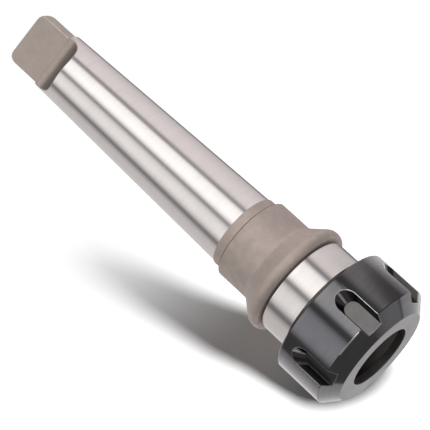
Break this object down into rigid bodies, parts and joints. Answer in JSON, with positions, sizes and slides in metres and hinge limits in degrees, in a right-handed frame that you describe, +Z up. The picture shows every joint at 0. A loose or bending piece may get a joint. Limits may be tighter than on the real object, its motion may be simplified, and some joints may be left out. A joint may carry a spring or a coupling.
{
  "type": "collet chuck holder",
  "caption": "Taper shank collet chuck with a tang, a flanged collar and a slotted clamping nut that screws on its nose to close a collet.",
  "frame": {"origin": "centre of the clamping nut's flat front face, on the axis", "axes": "+Z up the axis from the nut to the tang; the two flats of the tang face along +Y and -Y"},
  "size_m": [0.042, 0.042, 0.1492],
  "materials": {
    "holder_steel": "ground bright on the taper and neck, satin on the collar and tang",
    "black_oxide_steel": "black oxide, satin",
    "ring_steel": "hardened and ground, dull"
  },
  "bodies": {
    "chuck_body": {"chuck_body": "holder_steel"},
    "extractor_ring": {"extractor_ring": "ring_steel"},
    "clamping_nut": {"clamping_nut": "black_oxide_steel"}
  },
  "joints": [
    {"name": "nut_travel", "type": "slide", "parent": "chuck_body", "child": "extractor_ring", "axis": [0, 0, -1], "range_m": [0, 0.0105]},
    {"name": "nut_turn", "type": "hinge", "parent": "extractor_ring", "child": "clamping_nut", "pos_m": [0, 0, 0.01], "axis": [0, 0, -1], "range_deg": [0, 2520]}
  ],
  "couplings": [
    {"joint": "nut_travel", "follows": "nut_turn", "m_per_rad": 0.00023873}
  ]
}
